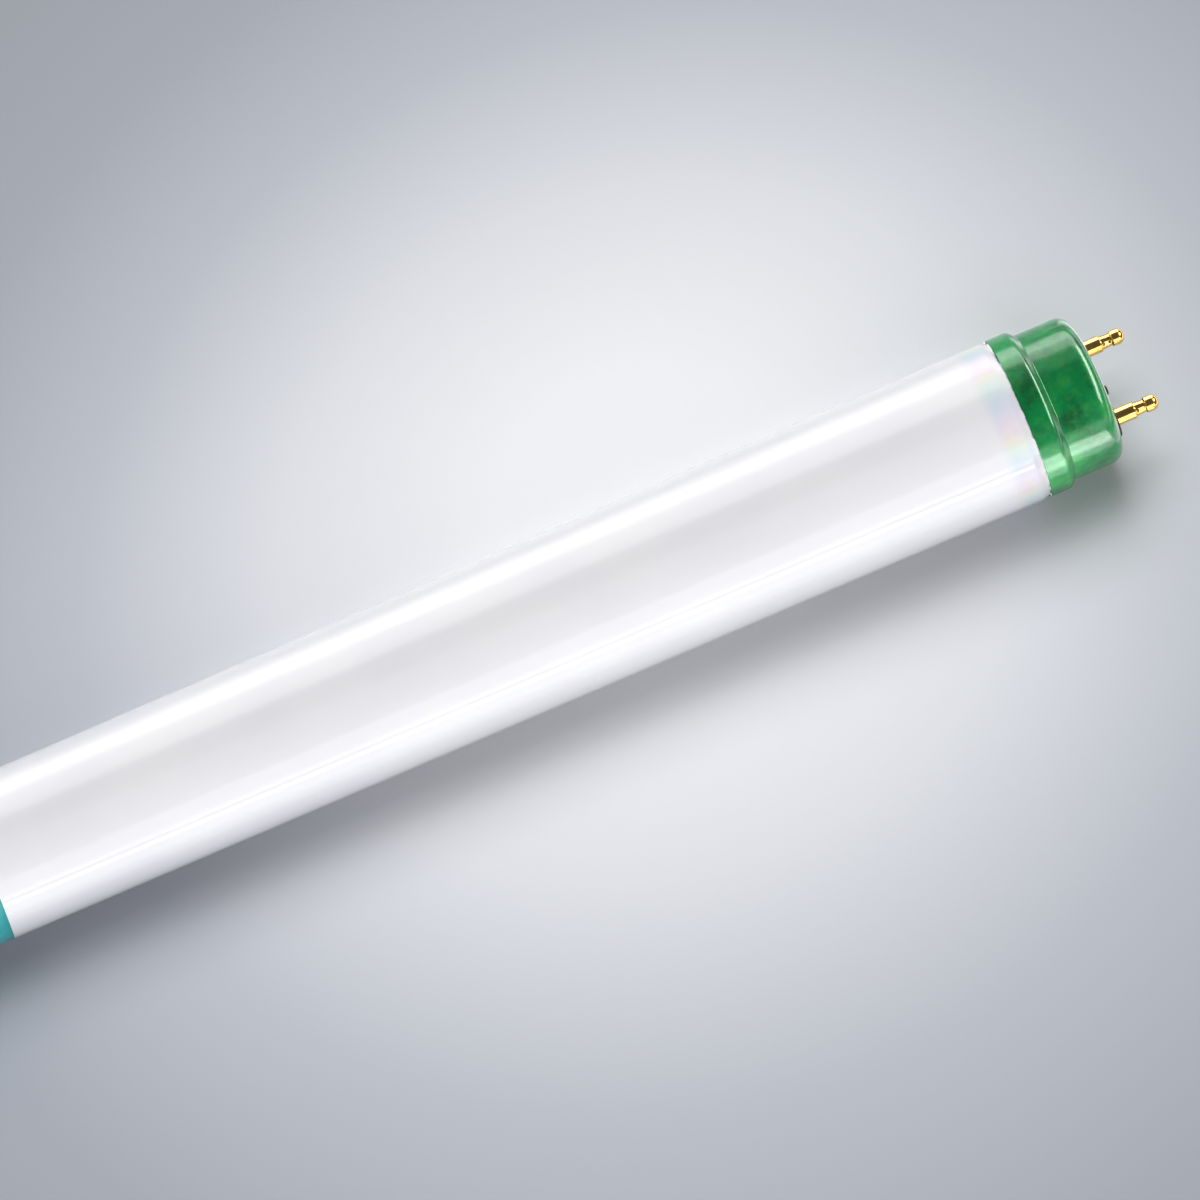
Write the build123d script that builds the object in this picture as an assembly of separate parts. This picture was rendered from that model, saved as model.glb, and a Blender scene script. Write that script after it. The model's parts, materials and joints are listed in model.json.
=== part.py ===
from build123d import *
from math import radians, tan
import os

# Straight fluorescent tube, 26 mm across, with a two-pin cap at each end.
# The tube lies along X, the pins of each cap are side by side along Y, and +Z is up.
# The origin is the middle of the lamp, on the tube's axis. All sizes are in millimetres.

# The whole lamp
face_to_face = 589.0  # between the flat metal ends of the two caps
tube_radius = 13.0

# Cap shell, drawn from thin sheet: a collar over the glass, a step, and a narrower drum
cap_length = 12.8  # from the open rim to the flat end
sheet = 0.3
collar_length = 3.4  # from the rim to the corner where the step begins
step_height = 1.0
step_slope = 45.0  # degrees from the tube's axis
shoulder_fillet = 1.2
rim_edge = 0.18
foot_fillet = 0.3
end_fillet = 2.2
slot_land = 0.45  # flat metal between the slot's ends and the rounding of the end
slot_width = 6.5
slot_edge = 0.08

# Insulating plate that carries the pins, with a raised boss in the slot of the shell
plate_thickness = 1.6
plate_clearance = 0.05
boss_proud = 0.5
boss_edge = 0.2
nub_radius = 0.8
nub_height = 0.95
nub_edge = 0.3
nub_offset = 1.4  # from the middle of the boss towards one pin

# Pins, drawn from brass tube, riveted through the plate and crimped on the lead wires
pin_spacing = 12.7
pin_length = 7.5  # from the flat metal end to the tip
pin_radius = 1.33
base_end = 3.6  # where the waist begins, from the flat metal end
base_edge = 0.08
waist_radius = 1.1
waist_taper = 0.12
waist_length = 1.65
groove_radius = 1.0  # at the head's foot, where the crimp is tightest
head_radius = 1.27
head_taper = 0.22
head_fillet = 0.5
tip_fillet = 1.15
bore_radius = 0.8
bore_cone = 0.6
crimp_length = 2.2
shank_radius = 1.1
rivet_gap = 0.02
flange_radius = 1.75
flange_thickness = 0.3
flange_edge = 0.15

# Cement between the neck of the glass and the collar, with a bead outside the rim
cement_gap = 0.35
cement_short = 0.8  # from the cement's inner end to the corner of the step
bead_width = 0.5
bead_drop = 0.05  # below the collar's outside
bead_fillet = 0.3

# Sealed glass tube: a drawn-in neck under each collar and a flared stem inside each end
glass_in_cap = 4.5
shoulder_outside = 1.2  # how far in front of the rim the glass begins to draw in
shoulder_round = 1.5
rim_clearance = 0.1  # between the glass and the inner edge of the rim
neck_round = 0.8
lip_fillet = 1.7
lip_inner_fillet = 0.8
flare_mouth_radius = 9.0
flare_depth = 10.0
flare_fillet = 4.0
stem_radius = 5.0
stem_depth = 20.0
stem_fillet = 1.0
press_width = 8.6
press_thickness = 3.4
press_height = 3.0
press_taper = 6.0
exhaust_radius = 1.9
exhaust_root_fillet = 0.4
exhaust_gap = 1.7  # between the sealed tip and the plate
exhaust_cone = 2.4
exhaust_tip_radius = 0.6

# Lead wires from the stem to the pins
wire_radius = 0.25
wire_spread = 6.4  # between the two wires of one stem
wire_bend_from_flange = 1.6
wire_bend_length = 6.0
wire_bend_radius = 2.5

# Places along one end, measured from the flat metal end, with +X outwards
drum_radius = tube_radius - step_height
slot_length = 2 * (drum_radius - end_fillet - slot_land)
rim = -cap_length
shoulder_corner = rim + collar_length
foot_corner = shoulder_corner + step_height / tan(radians(step_slope))
plate_back = -sheet - plate_thickness
flange_back = plate_back - flange_thickness
neck_radius = tube_radius - sheet - cement_gap
shoulder_start = rim - shoulder_outside
shoulder_end = rim + shoulder_outside * (cement_gap - rim_clearance) / (sheet + rim_clearance)
bead_start = rim - bead_width
cement_end = shoulder_corner - cement_short
glass_end = rim + glass_in_cap
stem_bottom = glass_end - stem_depth
press_top = stem_bottom + press_height
waist_end = base_end + waist_length
wire_end = base_end + crimp_length


def cap_form(inset, open_end):
    """The cap's outside form as a solid, drawn in by inset everywhere but at its open end."""
    lean = inset * tan(radians(step_slope) / 2)
    side = FilletPolyline(
        (-inset, 0),
        (-inset, drum_radius - inset),
        (foot_corner - lean, drum_radius - inset),
        (shoulder_corner - lean, tube_radius - inset),
        (open_end, tube_radius - inset),
        radius=[end_fillet - inset, foot_fillet + inset, shoulder_fillet - inset],
    )
    back = Polyline((open_end, tube_radius - inset), (open_end, 0), (-inset, 0))
    return revolve(make_face(side + back), Axis.X)


def slot_block(clearance, start, end):
    """A block with the outline of the slot in the flat end, smaller by the clearance all round."""
    outline = SlotOverall(slot_length - 2 * clearance, slot_width - 2 * clearance)
    return extrude(Plane.YZ.offset(start) * outline, end - start)


def outer_edges(piece, x):
    """The edges of a piece that lie in the plane at x."""
    return piece.edges().filter_by_position(Axis.X, x - 0.001, x + 0.001)


def make_shell():
    outside = cap_form(0, rim)
    outside = fillet(outer_edges(outside, rim), rim_edge)
    shell = outside - cap_form(sheet, rim - 1)
    shell -= slot_block(0, -2 * sheet, sheet)
    # the longest edge of the flat end is its outer circle, and the rest are the slot's
    return fillet(outer_edges(shell, 0).sort_by(SortBy.LENGTH)[:-1], slot_edge)


def make_plate():
    """The plate fills the shell's closed end; its boss stands in the slot and a little proud of it."""
    inside = Pos(plate_clearance, 0, 0) * cap_form(sheet + plate_clearance, rim)
    slab = extrude(Plane.YZ.offset(plate_back) * Circle(tube_radius), plate_thickness)
    boss = slot_block(plate_clearance, -sheet, boss_proud)
    boss = fillet(outer_edges(boss, boss_proud), boss_edge)
    nub = extrude(Plane.YZ.offset(boss_proud) * Pos(-nub_offset, 0) * Circle(nub_radius), nub_height)
    nub = fillet(outer_edges(nub, boss_proud + nub_height), nub_edge)
    plate = (inside & slab) + boss + nub
    for side in (-1, 1):
        outline = Pos(side * pin_spacing / 2, 0) * Circle(shank_radius + rivet_gap)
        plate -= extrude(Plane.YZ.offset(plate_back) * outline, boss_proud - plate_back)
    return plate


def make_pin():
    """A hollow pin on the X axis: rivet flange, shank, base, crimped waist and rounded head."""
    corners = [
        ((flange_back, bore_radius), 0),
        ((flange_back, flange_radius), flange_edge),
        ((plate_back, flange_radius), 0),
        ((plate_back, shank_radius), 0),
        ((boss_proud, shank_radius), 0),
        ((boss_proud, pin_radius), 0),
        ((base_end, pin_radius), base_edge),
        ((base_end + waist_taper, waist_radius), 0),
        ((waist_end, groove_radius), 0),
        ((waist_end + head_taper, head_radius), head_fillet),
        ((pin_length, head_radius), tip_fillet),
        ((pin_length, 0), 0),
        ((wire_end, 0), 0),
        ((wire_end, wire_radius), 0),
        ((base_end, wire_radius), 0),
        ((base_end - bore_cone, bore_radius), 0),
    ]
    points, fillets = zip(*corners)
    return revolve(make_face(FilletPolyline(points, radius=fillets, close=True)), Axis.X)


def make_lead_wire(side):
    """A wire from the stem's press, bent outwards in the cap, and into the crimp of its pin."""
    near, far = side * wire_spread / 2, side * pin_spacing / 2
    bend = flange_back - wire_bend_from_flange
    path = FilletPolyline(
        (press_top, near, 0),
        (bend - wire_bend_length, near, 0),
        (bend, far, 0),
        (wire_end, far, 0),
        radius=wire_bend_radius,
    )
    return sweep(Plane.YZ.offset(press_top) * Pos(near, 0) * Circle(wire_radius), path=path)


def make_cement(glass):
    """The ring fills what the collar and the drawn-in glass leave between them."""
    section = make_face(
        Polyline(
            (bead_start, neck_radius),
            (bead_start, tube_radius - bead_drop),
            (rim, tube_radius - bead_drop),
            (rim, tube_radius - sheet),
            (cement_end, tube_radius - sheet),
            (cement_end, neck_radius),
            close=True,
        )
    )
    bead = section.vertices().sort_by_distance((bead_start, tube_radius - bead_drop))[0]
    return revolve(fillet(bead, bead_fillet), Axis.X) - Pos(-face_to_face / 2, 0, 0) * glass


def make_glass():
    """The whole sealed tube from one outline: neck, lip, flare, stem and exhaust tip at each end."""
    end = face_to_face / 2
    tip = plate_back - exhaust_gap
    right = FilletPolyline(
        (0, tube_radius),
        (end + shoulder_start, tube_radius),
        (end + shoulder_end, neck_radius),
        (end + glass_end, neck_radius),
        (end + glass_end, flare_mouth_radius),
        (end + glass_end - flare_depth, stem_radius),
        (end + stem_bottom, stem_radius),
        (end + stem_bottom, exhaust_radius),
        (end + tip - exhaust_cone, exhaust_radius),
        (end + tip, exhaust_tip_radius),
        (end + tip, 0),
        radius=[
            shoulder_round,
            neck_round,
            lip_fillet,
            lip_inner_fillet,
            flare_fillet,
            stem_fillet,
            exhaust_root_fillet,
            exhaust_tip_radius,
            exhaust_tip_radius / 2,
        ],
    )
    left = mirror(right, Plane.YZ)
    axis = Line((end + tip, 0), (-end - tip, 0))
    glass = revolve(make_face(right + left + axis), Axis.X)
    press = extrude(
        Plane.YZ.offset(stem_bottom) * SlotOverall(press_width, press_thickness),
        press_height,
        taper=press_taper,
    )
    for turn in (0, 180):
        glass += Rot(0, 0, turn) * Pos(end, 0, 0) * press
    return glass


def write(name, piece):
    export_step(piece, f"parts/{name}.step")


os.makedirs("parts", exist_ok=True)
glass = make_glass()
write("sealed_glass_tube", glass)

shell = make_shell()
plate = make_plate()
pin = make_pin()
cement = make_cement(glass)
for end, turn in (("right", 0), ("left", 180)):
    place = Rot(0, 0, turn) * Pos(face_to_face / 2, 0, 0)
    write(f"{end}_cap_shell", place * shell)
    write(f"{end}_insulating_plate", place * plate)
    write(f"{end}_cement_ring", place * cement)
    for side in (-1, 1):
        depth = "front" if side * (-1) ** (turn // 180) < 0 else "rear"
        write(f"{end}_{depth}_pin", place * Pos(0, side * pin_spacing / 2, 0) * pin)
        write(f"{end}_{depth}_lead_wire", place * make_lead_wire(side))
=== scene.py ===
from math import cos, radians, sin

import bmesh
import bpy
import numpy as np
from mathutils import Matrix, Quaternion, Vector
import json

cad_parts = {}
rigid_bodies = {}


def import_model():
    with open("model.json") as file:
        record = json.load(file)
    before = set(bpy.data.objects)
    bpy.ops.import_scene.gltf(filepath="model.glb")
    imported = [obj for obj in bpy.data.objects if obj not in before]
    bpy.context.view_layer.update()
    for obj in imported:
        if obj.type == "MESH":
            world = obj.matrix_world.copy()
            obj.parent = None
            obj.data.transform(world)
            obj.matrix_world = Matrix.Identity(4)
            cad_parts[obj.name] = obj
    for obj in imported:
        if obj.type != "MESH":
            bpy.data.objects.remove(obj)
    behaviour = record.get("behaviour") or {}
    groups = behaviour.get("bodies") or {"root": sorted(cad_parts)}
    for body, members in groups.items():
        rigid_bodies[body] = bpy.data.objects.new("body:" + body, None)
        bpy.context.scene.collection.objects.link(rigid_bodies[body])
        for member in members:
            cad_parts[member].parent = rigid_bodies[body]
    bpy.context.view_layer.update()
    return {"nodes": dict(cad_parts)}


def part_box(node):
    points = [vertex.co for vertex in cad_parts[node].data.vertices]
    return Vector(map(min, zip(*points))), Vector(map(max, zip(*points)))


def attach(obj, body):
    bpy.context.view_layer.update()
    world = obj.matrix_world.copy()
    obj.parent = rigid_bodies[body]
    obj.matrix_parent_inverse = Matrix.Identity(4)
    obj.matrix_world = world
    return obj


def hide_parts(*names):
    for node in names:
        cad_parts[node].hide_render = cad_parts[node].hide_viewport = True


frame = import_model()


# Sealed glass tube
# Clear soda-lime glass, coated inside with an even white powder that can't be seen through. Each end is
# drawn in under its cap and melted to a flared stem, whose wires are pinched in a flat press.

glass_tip, tube_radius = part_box("sealed_glass_tube")[1].xy
cap_rim, cap_end = (corner.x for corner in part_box("right_cap_shell"))
shoulder_outside, neck_inside, neck_drop = 0.0012, 0.00075, 0.00065
draw_in_round, neck_round = 0.0015, 0.0008
glass_in_cap, lip_round, lip_inner_round = 0.0045, 0.0017, 0.0008
flare_mouth_radius, flare_depth, flare_round = 0.009, 0.010, 0.004
stem_radius, stem_depth, stem_round = 0.005, 0.020, 0.001
press_width, press_thickness, press_height, press_taper = 0.0086, 0.0034, 0.003, radians(6)
exhaust_radius, exhaust_cone, exhaust_cone_round = 0.0019, 0.0024, 0.0006
exhaust_tip_radius, exhaust_tip_round = 0.0006, 0.0003
tube_steps = 256
merge_distance = 1e-7
least_cosine = 1e-9


def rounded_outline(corners, steps=12, support=0.00003):
    """Points (along, radius) through the corners, each given with its rounding as a tangent arc.

    A corner with unit directions a and b to its neighbours, which meet at the angle 2h, gets an arc of
    radius r about the point r / sin(h) along the bisector of a and b. The arc turns evenly from the foot
    of its centre on one side to the foot on the other. A point just before and just after it keeps the
    straight stretches flat."""
    points = []
    places = [np.array(corner[:2], float) for corner in corners]
    for i, (p, r) in enumerate(zip(places, (corner[2] for corner in corners))):
        if r == 0:
            points.append(p[None])
            continue
        a, b = (places[i + k] - p for k in (-1, 1))
        a, b = a / np.linalg.norm(a), b / np.linalg.norm(b)
        half = np.arccos(a @ b) / 2
        centre = p + (a + b) / np.linalg.norm(a + b) * r / np.sin(half)
        tangent = r / np.tan(half)
        start, end = (p + d * tangent - centre for d in (a, b))
        t = np.linspace(0, 1, steps)[:, None]
        turn = np.pi - 2 * half
        arc = centre + (np.sin((1 - t) * turn) * start + np.sin(t * turn) * end) / np.sin(turn)
        points += [p[None] + a * (tangent + support), arc, p[None] + b * (tangent + support)]
    return np.vstack(points)


def mesh_from_grid(name, grid, around=True, closed_section=False):
    """A mesh of the grid of points, shape (along, across, 3), with quads between neighbours.

    The last column joins the first where the surface goes right around, and the last row joins the first
    where the section is closed. Points that meet in a pole are merged, and the faces point outwards."""
    rows, columns = grid.shape[:2]
    i = np.arange(rows if closed_section else rows - 1)
    j = np.arange(columns if around else columns - 1)
    i, j = (m.ravel() for m in np.meshgrid(i, j, indexing="ij"))
    i2, j2 = (i + 1) % rows, (j + 1) % columns
    quads = np.stack([i * columns + j, i2 * columns + j, i2 * columns + j2, i * columns + j2], 1)
    mesh = bpy.data.meshes.new(name)
    mesh.from_pydata(grid.reshape(-1, 3).tolist(), [], quads.tolist())
    work = bmesh.new()
    work.from_mesh(mesh)
    bmesh.ops.remove_doubles(work, verts=work.verts, dist=merge_distance)
    bmesh.ops.recalc_face_normals(work, faces=work.faces)
    work.to_mesh(mesh)
    work.free()
    mesh.shade_smooth()
    piece = bpy.data.objects.new(name, mesh)
    bpy.context.scene.collection.objects.link(piece)
    return piece


def turned(outline, angles, radius_at=None):
    """The surface of revolution x = along, y = radius sin t, z = radius cos t, as a grid.

    radius_at may give a radius that also depends on the angle t, as at a flat press."""
    x = np.repeat(outline[:, :1], len(angles), 1)
    r = np.repeat(outline[:, 1:], len(angles), 1)
    if radius_at is not None:
        r = radius_at(x, r, angles[None])
    return np.stack([x, r * np.sin(angles), r * np.cos(angles)], 2)


def full_turn(steps):
    """Evenly spaced angles right around the axis."""
    return np.linspace(0, 2 * np.pi, steps, endpoint=False)


def oval_radius(half_width, reach, t):
    """The outline of a slot in polar form, its long side along y.

    The slot's round ends have the half-width w as radius and their centres at the reach c. The radius is
    w / |cos t| along the flats and c |sin t| + sqrt(w^2 - c^2 cos^2 t) round the ends."""
    flat = half_width / np.maximum(np.abs(np.cos(t)), least_cosine)
    end = reach * np.abs(np.sin(t)) + np.sqrt(np.maximum(half_width**2 - reach**2 * np.cos(t) ** 2, 0))
    return np.where(flat * np.abs(np.sin(t)) <= reach, flat, end)


def press_radius(x, r, t):
    """The radius r, widened to an oval of half-width w - d tan a on the flat press.

    w is half the press's thickness, d the depth from the stem's bottom and a the press's taper. The stem's
    own rim, at the same place along the tube, has a larger radius and is left alone."""
    depth = np.abs(x) - stem_bottom
    half_width = press_thickness / 2 - depth * np.tan(press_taper)
    oval = oval_radius(half_width, (press_width - press_thickness) / 2, t)
    on_press = (depth > -merge_distance) & (depth < press_height + merge_distance)
    return np.where(on_press & (r < stem_rim_from), np.maximum(r, oval), r)


glass_end = cap_rim + glass_in_cap
stem_bottom = glass_end - stem_depth
press_top = stem_bottom + press_height
press_ledge = 1e-6
stem_rim_from = stem_radius * 0.9
neck_radius = tube_radius - neck_drop
right_outline = rounded_outline(
    [
        (0, tube_radius, 0),
        (cap_rim - shoulder_outside, tube_radius, draw_in_round),
        (cap_rim + neck_inside, neck_radius, neck_round),
        (glass_end, neck_radius, lip_round),
        (glass_end, flare_mouth_radius, lip_inner_round),
        (glass_end - flare_depth, stem_radius, flare_round),
        (stem_bottom, stem_radius, stem_round),
        (stem_bottom, exhaust_radius, 0),
        (press_top, exhaust_radius, 0),
        (press_top + press_ledge, exhaust_radius, 0),
        (glass_tip - exhaust_cone, exhaust_radius, exhaust_cone_round),
        (glass_tip, exhaust_tip_radius, exhaust_tip_round),
        (glass_tip, 0, 0),
    ]
)
left_outline = right_outline[:0:-1] * (-1, 1)
glass_outline = np.vstack([left_outline, right_outline])
glass = mesh_from_grid("glass_tube", turned(glass_outline, full_turn(tube_steps), press_radius))


def new_material(name):
    """An empty node material, its Principled shader, and functions that add a node and wire it in."""
    material = bpy.data.materials.new(name)
    material.use_nodes = True
    tree = material.node_tree
    tree.nodes.clear()
    shader = tree.nodes.new("ShaderNodeBsdfPrincipled")
    output = tree.nodes.new("ShaderNodeOutputMaterial")
    tree.links.new(shader.outputs["BSDF"], output.inputs["Surface"])

    def add(kind, inputs=None, **settings):
        node = tree.nodes.new("ShaderNode" + kind)
        for key, value in settings.items():
            setattr(node, key, value)
        for key, value in (inputs or {}).items():
            if isinstance(value, bpy.types.NodeSocket):
                tree.links.new(value, node.inputs[key])
            else:
                node.inputs[key].default_value = value
        return node

    def wire(value, socket):
        tree.links.new(value, shader.inputs[socket])

    return material, shader, add, wire


def set_ramp(node, stops, blend="LINEAR"):
    """Puts the stops (place, colour) on a Color Ramp node."""
    ramp = node.color_ramp
    ramp.interpolation = blend
    while len(ramp.elements) < len(stops):
        ramp.elements.new(0.5)
    for element, (place, colour) in zip(ramp.elements, stops):
        element.position = place
        element.color = (*colour, 1)
    return node.outputs["Color"]


powder_white = (0.905, 0.9, 0.925)
powder_thin = (0.875, 0.87, 0.905)
tints = [
    (0.0, (0.86, 1.0, 0.92)),
    (0.3, (0.82, 0.92, 1.0)),
    (0.6, (0.98, 0.86, 0.98)),
    (0.82, (1.0, 0.98, 0.84)),
    (1.0, (0.86, 1.0, 0.92)),
]
tints_around, tint_shift, tint_wobble = 8, -0.3, 0.6
tint_reach = 0.0058

coated_glass, shader, add, wire = new_material("coated_glass")
place = add("TexCoord").outputs["Object"]
split = add("SeparateXYZ", {0: place})
cloud = add("TexNoise", {"Vector": place, "Scale": 60, "Detail": 3})
powder = set_ramp(add("ValToRGB", {0: cloud.outputs["Fac"]}), [(0.3, powder_thin), (0.6, powder_white)])
frontward = add("Math", {0: split.outputs["Y"], 1: -1.0}, operation="MULTIPLY").outputs[0]
angle = add("Math", {0: frontward, 1: split.outputs["Z"]}, operation="ARCTAN2").outputs[0]
wobble = add("TexNoise", {"Vector": place, "Scale": 320, "Detail": 2}).outputs["Fac"]
per_radian = tints_around / (2 * np.pi)
turns = add("Math", {0: angle, 1: per_radian, 2: tint_shift}, operation="MULTIPLY_ADD").outputs[0]
shifted = add("Math", {0: wobble, 1: tint_wobble, 2: turns}, operation="MULTIPLY_ADD").outputs[0]
wrapped = add("Math", {0: shifted}, operation="FRACT").outputs[0]
rainbow = set_ramp(add("ValToRGB", {0: wrapped}), tints)
along = add("Math", {0: split.outputs["X"]}, operation="ABSOLUTE").outputs[0]
near_cap = add("MapRange", {"Value": along, "From Min": cap_rim - tint_reach, "From Max": cap_rim})
tint_share = set_ramp(
    add("ValToRGB", {0: near_cap.outputs[0]}),
    [(0.0, (0, 0, 0)), (0.4, (1, 1, 1)), (0.75, (0.8, 0.8, 0.8)), (0.95, (0.2, 0.2, 0.2))],
    "EASE",
)
tinted = add("Mix", {0: tint_share, 6: powder, 7: rainbow}, data_type="RGBA", blend_type="MULTIPLY")
wire(tinted.outputs[2], "Base Color")
shader.inputs["Roughness"].default_value = 0.45
shader.inputs["Coat Weight"].default_value = 1.0
shader.inputs["Coat Roughness"].default_value = 0.1
shader.inputs["Coat IOR"].default_value = 1.5
draw_lines = add("Mapping", {"Vector": place, "Scale": (3, 120, 120)}).outputs[0]
waves = add("TexNoise", {"Vector": draw_lines, "Scale": 1, "Detail": 2}).outputs["Fac"]
bump = add("Bump", {"Height": waves, "Strength": 0.01, "Distance": 0.0005}).outputs[0]
wire(bump, "Coat Normal")
glass.data.materials.append(coated_glass)
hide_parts("sealed_glass_tube")
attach(glass, "root")


# Printed field
# A plain field of teal ink stoved on the outside of the glass, where such lamps carry their marking. It
# follows the tube's curve and is two hundredths of a millimetre thick.

ink_thickness = 0.00002
field_edge, field_length = 0.1088, 0.085
field_top, field_bottom = radians(35), radians(125)
field_slant, slant_from, slant_over, slant_bow = 0.0043, radians(50), radians(64.5), 1.3


def field_grid():
    """A patch of the tube's surface, y = -r sin t and z = r cos t, with t from the top to the front.

    Past the angle where the slant starts, the right edge falls back by slant ((t - from) / over) ^ bow."""
    u = np.linspace(0, 1, 25)[:, None]
    t = np.linspace(field_top, field_bottom, 61)[None]
    right = field_edge - field_slant * np.maximum((t - slant_from) / slant_over, 0) ** slant_bow
    left = field_edge - field_length + 0 * t
    x = left + (right - left) * u
    r = tube_radius + ink_thickness
    t = t + 0 * u
    return np.stack([x, -r * np.sin(t), r * np.cos(t)], 2)


field = mesh_from_grid("printed_field", field_grid(), around=False)
thickness = field.modifiers.new("thickness", "SOLIDIFY")
thickness.thickness = ink_thickness
teal_ink, shader, add, wire = new_material("teal_ink")
place = add("TexCoord").outputs["Object"]
grain = add("TexNoise", {"Vector": place, "Scale": 900, "Detail": 4}).outputs["Fac"]
teal = set_ramp(add("ValToRGB", {0: grain}), [(0.35, (0.0, 0.46, 0.48)), (0.65, (0.0, 0.52, 0.53))])
wire(teal, "Base Color")
shader.inputs["Roughness"].default_value = 0.35
shader.inputs["Coat Weight"].default_value = 0.6
shader.inputs["Coat Roughness"].default_value = 0.1
field.data.materials.append(teal_ink)
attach(field, "root")


# Cap shells
# Drawn aluminium, anodised green: a collar over the glass, a step and a drum with a rounded, slotted
# end. The dye has taken unevenly, and fine turning marks run around the metal.

ends = {"right": 1, "left": -1}
cap_sheet = 0.0003
drum_radius = 0.012
collar_length, step_end, step_slope = 0.0034, 0.0044, radians(45)
shoulder_corner, foot_corner = cap_rim + collar_length, cap_rim + step_end
rim_edge, shoulder_round, foot_round, end_round = 0.00018, 0.0012, 0.0003, 0.0022
step_lean = cap_sheet * np.tan(step_slope / 2)
slot_half_width, slot_half_length, slot_edge = 0.00325, 0.00935, 0.00008
fleck_green = (0.045, 0.27, 0.045, 1)


def cap_grid(angles):
    """The cap's closed section, carried round the axis: outside, flat end, slot and inside.

    Each row has its place along the cap, a plain radius, the share k of the slot's outline in it and an
    extra radius e, so that its radius is (1 - k) plain + k (slot + e)."""
    outside = rounded_outline(
        [
            (cap_rim, tube_radius - cap_sheet, 0),
            (cap_rim, tube_radius, rim_edge),
            (shoulder_corner, tube_radius, shoulder_round),
            (foot_corner, drum_radius, foot_round),
            (cap_end, drum_radius, end_round),
            (cap_end, 0, 0),
        ],
        steps=18,
    )[:-1]
    inside = rounded_outline(
        [
            (cap_end - cap_sheet, 0, 0),
            (cap_end - cap_sheet, drum_radius - cap_sheet, end_round - cap_sheet),
            (foot_corner - step_lean, drum_radius - cap_sheet, foot_round + cap_sheet),
            (shoulder_corner - step_lean, tube_radius - cap_sheet, shoulder_round - cap_sheet),
            (cap_rim, tube_radius - cap_sheet, 0),
        ]
    )[1:-1]
    share = np.linspace(0, 1, 9)[1:, None]
    turn = np.linspace(0, np.pi / 2, 7)[:, None]
    none, one = 0 * share, 1 + 0 * turn
    flat_end = np.hstack([cap_end + none, outside[-1, 1] + none, share, slot_edge + none])
    fall, spread = slot_edge * (1 - np.cos(turn)), slot_edge * (1 - np.sin(turn))
    edge = np.hstack([cap_end - fall, 0 * turn, one, spread])
    back = np.hstack([cap_end - cap_sheet + none, inside[0, 1] + none, 1 - share, none])
    wall = np.array([[cap_end - cap_sheet, 0, 1, 0]])
    plain = [np.pad(part, ((0, 0), (0, 2))) for part in (outside, inside)]
    x, r, k, e = np.vstack([plain[0], flat_end, edge, wall, back, plain[1]]).T[:, :, None]
    slot = oval_radius(slot_half_width, slot_half_length - slot_half_width, angles[None])
    radius = (1 - k) * r + k * (slot + e)
    return np.stack([x + 0 * radius, radius * np.sin(angles), radius * np.cos(angles)], 2)


anodised, shader, add, wire = new_material("green_anodised")
place = add("TexCoord").outputs["Object"]
blotch = add("TexNoise", {"Vector": place, "Scale": 170, "Detail": 4, "Roughness": 0.6}).outputs["Fac"]
green = set_ramp(
    add("ValToRGB", {0: blotch}),
    [
        (0.34, (0.0, 0.095, 0.024)),
        (0.45, (0.0, 0.17, 0.042)),
        (0.56, (0.0, 0.235, 0.055)),
        (0.68, (0.025, 0.31, 0.052)),
    ],
)
fleck = add("TexNoise", {"Vector": place, "Scale": 650, "Detail": 3, "Roughness": 0.65}).outputs["Fac"]
flecks = set_ramp(add("ValToRGB", {0: fleck}), [(0.48, (0, 0, 0)), (0.75, (0.5, 0.5, 0.5))])
mottled = add("Mix", {0: flecks, 6: green, 7: fleck_green}, data_type="RGBA").outputs[2]
wire(mottled, "Base Color")
rings = add("Mapping", {"Vector": place, "Scale": (9000, 60, 60)}).outputs[0]
marks = add("TexNoise", {"Vector": rings, "Scale": 1, "Detail": 2}).outputs["Fac"]
rough = add("MapRange", {"Value": marks, "To Min": 0.38, "To Max": 0.5}).outputs[0]
wire(rough, "Roughness")
wire(add("Bump", {"Height": marks, "Strength": 0.06, "Distance": 0.0001}).outputs[0], "Normal")
shader.inputs["Metallic"].default_value = 0.15
shader.inputs["Specular IOR Level"].default_value = 0.05
shader.inputs["Coat Weight"].default_value = 1.0
shader.inputs["Coat Roughness"].default_value = 0.17

for end, sign in ends.items():
    grid = cap_grid(full_turn(tube_steps)) * (sign, sign, 1)
    shell = mesh_from_grid(f"{end}_drawn_cap", grid, closed_section=True)
    shell.data.materials.append(anodised)
    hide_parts(f"{end}_cap_shell")
    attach(shell, "root")


# Insulating plates
# Pressed dark brown moulding that closes each cap and carries its pins.

moulding, shader, add, wire = new_material("dark_moulding")
place = add("TexCoord").outputs["Object"]
speckle = add("TexNoise", {"Vector": place, "Scale": 1500, "Detail": 3}).outputs["Fac"]
brown = set_ramp(add("ValToRGB", {0: speckle}), [(0.3, (0.01, 0.008, 0.006)), (0.7, (0.03, 0.022, 0.016))])
wire(brown, "Base Color")
shader.inputs["Roughness"].default_value = 0.6
shader.inputs["Specular IOR Level"].default_value = 0.15


def finish_node(name, material):
    """Gives a piece of the construction its finish."""
    for slot in frame["nodes"][name].material_slots:
        slot.material = material


for end in ends:
    finish_node(f"{end}_insulating_plate", moulding)


# Basing cement
# Grey-white stoved cement with dark specks, squeezed out in a ragged bead between the glass and the rim.

cement_length = 0.0026
cement_end = cap_rim + cement_length
bead_width, bead_spread, narrowest, widest = 0.0006, 0.00016, 0.4, 2
bead_drop, drop_spread, shallowest, deepest = 0.00006, 0.3, 0.4, 2.5
bead_bulge = 0.4
bead_waves = np.arange(5, 120)
bead_steps = 512
lump_share = 0.45
neck_rows = 60


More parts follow.
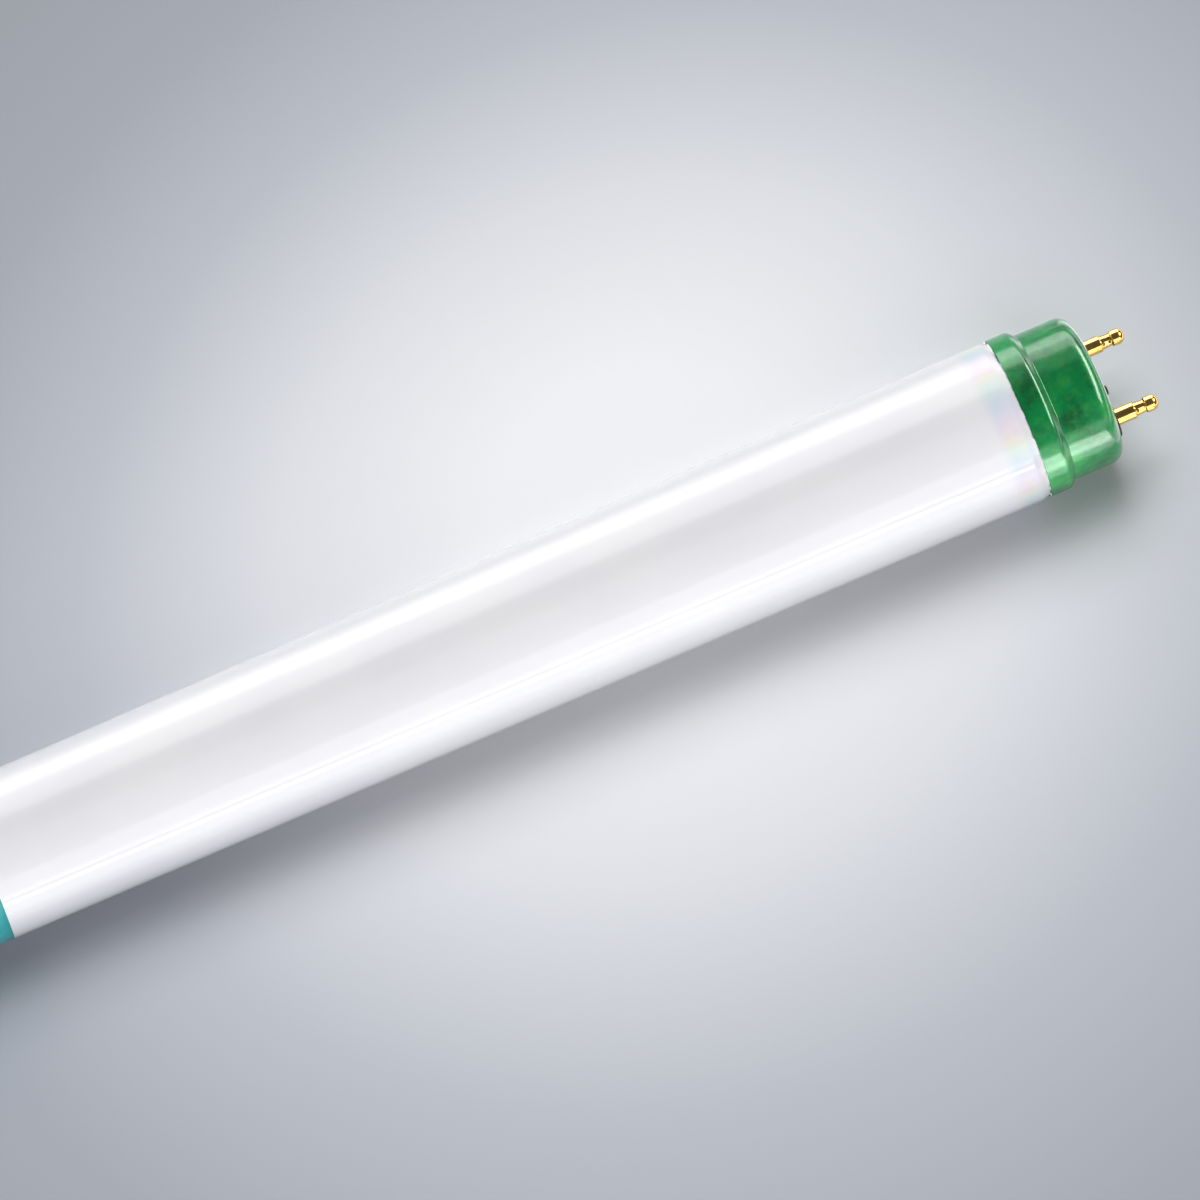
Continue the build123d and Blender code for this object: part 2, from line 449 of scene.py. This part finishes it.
def cement_grid(angles, seed):
    """The ring's closed section round the axis, with a bead whose width wanders with the angle.

    The width is a mean plus cosines of whole numbers of waves around the ring, with random phases and
    sizes that fall with the root of the wave number. The bead rises from the glass to its top by a power
    of the share of its width. The ring's inner side lies on the glass, whose neck fills the first rows
    of its outline."""
    rng = np.random.default_rng(seed)
    phases = rng.uniform(0, 2 * np.pi, len(bead_waves))
    ripple = (np.cos(bead_waves[:, None] * angles + phases[:, None]) / np.sqrt(bead_waves)[:, None]).sum(0)
    width = np.clip(bead_width + bead_spread * ripple, narrowest * bead_width, widest * bead_width)
    drop = np.clip(1 + drop_spread * np.roll(ripple, len(angles) // 3), shallowest, deepest)
    top = tube_radius - bead_drop * drop
    ones = np.ones(len(angles))

    def glass_at(x):
        return np.interp(x, *right_outline[:neck_rows].T)

    start = cap_rim - width
    low = glass_at(start)
    rows = [(start + s * width, low + (top - low) * s**bead_bulge) for s in np.linspace(0, 1, 8)]
    rows += [(x * ones, (tube_radius - cap_sheet) * ones) for x in (cap_rim, cement_end)]
    inner = [cement_end + (start - cement_end) * s for s in np.linspace(0, 1, 9)[:-1]]
    rows += [(x, glass_at(x)) for x in inner]
    x, r = (np.array(part) for part in zip(*rows))
    return np.stack([x, r * np.sin(angles), r * np.cos(angles)], 2)


cement, shader, add, wire = new_material("basing_cement")
place = add("TexCoord").outputs["Object"]
lumps = add("TexNoise", {"Vector": place, "Scale": 1500, "Detail": 3}).outputs["Fac"]
patches = add("TexNoise", {"Vector": place, "Scale": 220, "Detail": 1}).outputs["Fac"]
spread = add("Math", {0: lumps, 1: lump_share, 2: patches}, operation="MULTIPLY_ADD").outputs[0]
grey = set_ramp(
    add("ValToRGB", {0: spread}),
    [
        (0.61, (0.05, 0.1, 0.1)),
        (0.645, (0.3, 0.35, 0.34)),
        (0.67, (0.8, 0.8, 0.8)),
        (0.9, (0.88, 0.88, 0.89)),
    ],
)
wire(grey, "Base Color")
shader.inputs["Roughness"].default_value = 0.8
wire(add("Bump", {"Height": lumps, "Strength": 0.5, "Distance": 0.0001}).outputs[0], "Normal")
for seed, (end, sign) in enumerate(ends.items()):
    grid = cement_grid(full_turn(bead_steps), seed) * (sign, sign, 1)
    ring = mesh_from_grid(f"{end}_cement_bead", grid, closed_section=True)
    ring.data.materials.append(cement)
    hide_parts(f"{end}_cement_ring")
    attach(ring, "root")


# Contact pins
# Hollow pins drawn from brass, riveted through the plate, polished, and crimped on the lead wire by four
# jaws that leave shallow flats in the waist.

pin_length = 0.0075
pin_radius, bore_radius, wire_radius = 0.00133, 0.0008, 0.00025
base_end, waist_length, crimp_length, bore_cone = 0.0036, 0.00165, 0.0022, 0.0006
base_foot_round, base_edge = 0.00004, 0.00012
waist_radius, waist_taper, waist_foot_round = 0.0011, 0.00012, 0.00006
groove_radius, groove_round = 0.001, 0.00004
head_radius, head_taper, head_round, tip_round = 0.00127, 0.00022, 0.0003, 0.00115
plate_back, boss_front, shank_radius = -0.0019, 0.0005, 0.0011
flange_radius, flange_thickness, flange_edge = 0.00175, 0.0003, 0.00015
sharp_edge = 0.00002
waist_end = base_end + waist_length
crimp_half = radians(19)
crimp_margin, crimp_step = 0.00012, 0.00002
pin_steps = 96


def crimp_radius(x, r, t):
    """The pin's radius, with four flats pressed in its waist, one in each quarter.

    A flat of half-angle h on the radius r is the chord at r cos h from the axis, which is
    r cos h / cos a at the angle a from the flat's middle."""
    a = np.abs(t % (np.pi / 2) - np.pi / 4)
    start, end = base_end + waist_taper + crimp_margin, waist_end - crimp_margin
    inside = (x > start) & (x < end) & (r < head_radius)
    return np.where(inside, r * np.cos(crimp_half) / np.cos(np.minimum(a, crimp_half)), r)


pin_outline = rounded_outline(
    [
        (base_end + crimp_length, 0, 0),
        (base_end + crimp_length, wire_radius, 0),
        (base_end, wire_radius, 0),
        (base_end - bore_cone, bore_radius, 0),
        (plate_back - flange_thickness, bore_radius, 0),
        (plate_back - flange_thickness, flange_radius, flange_edge),
        (plate_back, flange_radius, sharp_edge),
        (plate_back, shank_radius, sharp_edge),
        (boss_front, shank_radius, sharp_edge),
        (boss_front, pin_radius, base_foot_round),
        (base_end, pin_radius, base_edge),
        (base_end + waist_taper, waist_radius, waist_foot_round),
        (base_end + waist_taper + crimp_margin, waist_radius, 0),
        (base_end + waist_taper + crimp_margin + crimp_step, waist_radius, 0),
        (waist_end - crimp_margin - crimp_step, groove_radius, 0),
        (waist_end - crimp_margin, groove_radius, 0),
        (waist_end, groove_radius, groove_round),
        (waist_end + head_taper, head_radius, head_round),
        (pin_length, head_radius, tip_round),
        (pin_length, 0, 0),
    ],
    support=0.00001,
)
brass, shader, add, wire = new_material("polished_brass")
place = add("TexCoord").outputs["Object"]
tarnish = add("TexNoise", {"Vector": place, "Scale": 900, "Detail": 3}).outputs["Fac"]
gold = set_ramp(add("ValToRGB", {0: tarnish}), [(0.3, (0.87, 0.5, 0.12)), (0.7, (0.99, 0.64, 0.21))])
wire(gold, "Base Color")
rough = add("MapRange", {"Value": tarnish, "To Min": 0.13, "To Max": 0.22}).outputs[0]
wire(rough, "Roughness")
shader.inputs["Metallic"].default_value = 1.0
for end, sign in ends.items():
    for depth in ("front", "rear"):
        low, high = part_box(f"{end}_{depth}_pin")
        middle_y = (low.y + high.y) / 2
        grid = turned(pin_outline, full_turn(pin_steps), crimp_radius) + (cap_end, 0, 0)
        pin = mesh_from_grid(f"{end}_{depth}_crimped_pin", grid * (sign, 1, 1) + (0, middle_y, 0))
        pin.data.materials.append(brass)
        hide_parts(f"{end}_{depth}_pin")
        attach(pin, "root")


# Lead wires
# Drawn iron-nickel wire from the stem's press to each pin.

wire_metal, shader, add, wire = new_material("lead_wire")
place = add("TexCoord").outputs["Object"]
scale_marks = add("TexNoise", {"Vector": place, "Scale": 2500, "Detail": 2}).outputs["Fac"]
steel = set_ramp(add("ValToRGB", {0: scale_marks}), [(0.3, (0.4, 0.38, 0.36)), (0.7, (0.58, 0.55, 0.52))])
wire(steel, "Base Color")
shader.inputs["Metallic"].default_value = 1.0
shader.inputs["Roughness"].default_value = 0.35
for end in ends:
    for depth in ("front", "rear"):
        finish_node(f"{end}_{depth}_lead_wire", wire_metal)


# Floor
# A pale surface under the tube, with a painted pool of light: its colour is painted darker and bluer away
# from the middle of the view.

floor_size = 60.0
painted_light_centre = (0.222, 0.0176)
painted_light_radius = 0.18
# Painted light: the stops paint the floor pale round the middle of the view and darker and bluer outwards,
# as painted shade.
painted_light_stops = [
    (0.05, (0.873, 0.881, 0.897)),
    (0.15, (0.855, 0.863, 0.883)),
    (0.35, (0.72, 0.732, 0.767)),
    (0.55, (0.508, 0.529, 0.58)),
    (0.75, (0.395, 0.413, 0.462)),
    (1.0, (0.35, 0.364, 0.4)),
]

floor_mesh = bpy.data.meshes.new("floor")
half = floor_size / 2
floor_corners = [(x * half, y * half, -tube_radius) for x, y in ((-1, -1), (1, -1), (1, 1), (-1, 1))]
floor_mesh.from_pydata(floor_corners, [], [(0, 1, 2, 3)])
floor = bpy.data.objects.new("floor", floor_mesh)
bpy.context.scene.collection.objects.link(floor)
paper, shader, add, wire = new_material("pale_paper")
place = add("TexCoord").outputs["Object"]
# The painted pool of light follows the distance from its centre across the floor.
centred = add("Mapping", {"Vector": place, "Location": (-painted_light_centre[0], -painted_light_centre[1], 0)}).outputs[0]
flat = add("VectorMath", {0: centred, 1: (1, 1, 0)}, operation="MULTIPLY").outputs[0]
distance = add("VectorMath", {0: flat}, operation="LENGTH").outputs["Value"]
painted_falloff = add("MapRange", {"Value": distance, "From Min": 0.0, "From Max": painted_light_radius}).outputs[0]
wire(set_ramp(add("ValToRGB", {0: painted_falloff}), painted_light_stops), "Base Color")
shader.inputs["Roughness"].default_value = 0.9
shader.inputs["Specular IOR Level"].default_value = 0.0
floor.data.materials.append(paper)


# Lights and camera
# Long soft boxes around the tube light the glass, the caps and the pins, each group with lamps of its own,
# and wide overhead light falls on the floor alone. The camera stands above the tube's front side.

lamp_middle, lamp_length = 0.2, 2.0
fill_width = 0.3
card_height = -0.0128
cap_middle, end_turn, end_lamp_width = 0.29, radians(35), 0.35
sun_spread = radians(34)
sky_colour, sky_light, sky_seen = (0.93, 0.95, 1, 1), 0.1, 0.6


def lit_pieces(name, pieces):
    """A group of pieces that a lamp lights."""
    group = bpy.data.collections.new(name)
    for piece in pieces:
        group.objects.link(piece)
    return group


def named(*words):
    """The pieces whose names hold one of the words."""
    return [piece for piece in bpy.context.scene.objects if any(word in piece.name for word in words)]


only_floor = lit_pieces("only_floor", [floor])
only_glass = lit_pieces("only_glass", [glass, field])
only_caps = lit_pieces("only_caps", named("drawn_cap", "cement", "plate"))
only_pins = lit_pieces("only_pins", named("crimped_pin", "lead_wire"))


def add_lamp(name, data, receivers, location, aim=None):
    """A lamp that the camera doesn't see, facing the aim or else straight up."""
    lamp = bpy.data.objects.new(name, data)
    bpy.context.scene.collection.objects.link(lamp)
    lamp.location = location
    lamp.rotation_mode = "QUATERNION"
    facing = Vector((0, 0, 1)) if aim is None else Vector(aim) - lamp.location
    lamp.rotation_quaternion = facing.to_track_quat("-Z", "Y")
    lamp.light_linking.receiver_collection = receivers
    lamp.visible_camera = False
    return lamp


def area_light(name, length, width, watts):
    """The data of a rectangular soft box."""
    data = bpy.data.lights.new(name, "AREA")
    data.shape = "RECTANGLE"
    data.size, data.size_y = length, width
    data.energy = watts
    return data


def beside_tube(angle):
    """The place a metre from the tube's axis, its angle from the top towards the front in degrees."""
    turn = radians(angle)
    return (lamp_middle, -sin(turn), cos(turn))


def fill_lights(receivers, rows):
    """Soft boxes that light without a reflection, from rows of angle and watts."""
    for angle, watts in rows:
        data = area_light("fill", lamp_length, fill_width, watts)
        lamp = add_lamp("fill", data, receivers, beside_tube(angle), (lamp_middle, 0, 0))
        lamp.visible_glossy = False


def reflected_strips(receivers, rows):
    """Long lamps seen in reflections alone, from rows of start and end angle and glow in watts a square
    metre. Neighbours share an edge, at 2 sin(h) of width for the half-angle h."""
    for start, end, glow in rows:
        width = 2 * sin(radians(end - start) / 2)
        data = area_light("strip", lamp_length, width, lamp_length * width * glow)
        middle = beside_tube((start + end) / 2)
        add_lamp("strip", data, receivers, middle, (lamp_middle, 0, 0)).visible_diffuse = False


def reflected_cards(receivers, rows):
    """Cards just above the floor that face up, seen in reflections alone, from rows of their range in x
    and in y and their glow in watts a square metre."""
    for (x_low, x_high), (y_low, y_high), glow in rows:
        length, width = x_high - x_low, y_high - y_low
        data = area_light("card", length, width, glow * length * width)
        middle = ((x_low + x_high) / 2, (y_low + y_high) / 2, card_height)
        add_lamp("card", data, receivers, middle).visible_diffuse = False


def lamp_beyond_end(name, receivers, length, watts):
    """A soft box a metre from the cap, raised above the tube's axis and seen in reflections alone."""
    data = area_light(name, length, end_lamp_width, watts)
    location = (cap_middle + cos(end_turn), 0, sin(end_turn))
    add_lamp(name, data, receivers, location, (cap_middle, 0, 0)).visible_diffuse = False


front_rows = [(-0.045, -0.03), (-0.07, -0.045), (-0.12, -0.07), (-0.25, -0.12)]
along_tube = (-0.3, 0.31)
across_end = (-0.15, 0.15)
end_cards = [((0.305, 0.325), 5.0), ((0.36, 0.45), 10.0), ((0.45, 0.8), 6.0)]
pin_cards = [(along_tube, (-0.2, -0.03), 7.0), ((0.325, 0.36), across_end, 5.0)]

fill_lights(only_glass, [(-80, 11.6), (20, 6.6), (50, 6.1)])
reflected_strips(
    only_glass,
    [
        (-90.5, -82, 2.4),
        (-82, -74, 6.2),
        (-74, -66, 9.5),
        (-66, -56, 8.8),
        (-56, -42, 4.0),
        (-42, -22, 4.5),
        (60, 74, 5.0),
        (74, 84, 5.2),
        (84, 90.5, 10.3),
    ],
)
reflected_cards(only_glass, [(along_tube, y, glow) for y, glow in zip(front_rows, (2.8, 6.3, 5.0, 20.0))])

fill_lights(only_caps, [(-80, 27.0), (60, 14.0)])
reflected_strips(
    only_caps,
    [(-80, -70, 13.0), (-70, -60, 17.0), (-60, -45, 11.0), (-45, -20, 1.5), (76, 90.5, 6.0)],
)
reflected_cards(only_caps, [(along_tube, y, glow) for y, glow in zip(front_rows, (8.0, 32.0, 24.0, 40.0))])
reflected_cards(only_caps, [(x, across_end, glow) for x, glow in end_cards])
lamp_beyond_end("end_lamp", only_caps, length=1.6, watts=24.0)

reflected_strips(only_pins, [(-90.5, -38, 14.0), (56, 90.5, 8.0)])
reflected_cards(only_pins, pin_cards)
lamp_beyond_end("tip_lamp", only_pins, length=0.5, watts=5.0)

overhead_rows = [(-40, 0.28), (-25, 1.23), (-10, 0.92), (50, 0.84)]
for angle, strength in overhead_rows:
    data = bpy.data.lights.new("overhead", "SUN")
    data.angle = sun_spread
    data.energy = strength
    add_lamp("overhead", data, only_floor, beside_tube(angle), (lamp_middle, 0, 0))

world = bpy.data.worlds.new("studio")
bpy.context.scene.world = world
world.use_nodes = True
background = world.node_tree.nodes["Background"]
background.inputs["Color"].default_value = sky_colour
seen = world.node_tree.nodes.new("ShaderNodeLightPath").outputs["Is Camera Ray"]
sky = world.node_tree.nodes.new("ShaderNodeMapRange")
sky.inputs["To Min"].default_value = sky_light
sky.inputs["To Max"].default_value = sky_seen
world.node_tree.links.new(seen, sky.inputs["Value"])
world.node_tree.links.new(sky.outputs["Result"], background.inputs["Strength"])

camera_place = Vector((0.2434, -0.17987, 0.36193))
camera_aim = Vector((0.21154, -0.00022, -0.00011))
camera_roll = radians(32.22)
camera_data = bpy.data.cameras.new("camera")
camera_data.sensor_width = 36
camera_data.lens = 78
camera_data.clip_start = 0.01
camera = bpy.data.objects.new("camera", camera_data)
bpy.context.scene.collection.objects.link(camera)
camera.location = camera_place
camera.rotation_mode = "QUATERNION"
upright = (camera_aim - camera_place).to_track_quat("-Z", "Y")
camera.rotation_quaternion = upright @ Quaternion((0, 0, 1), -camera_roll)
bpy.context.scene.camera = camera
bpy.context.scene.view_settings.view_transform = "Standard"
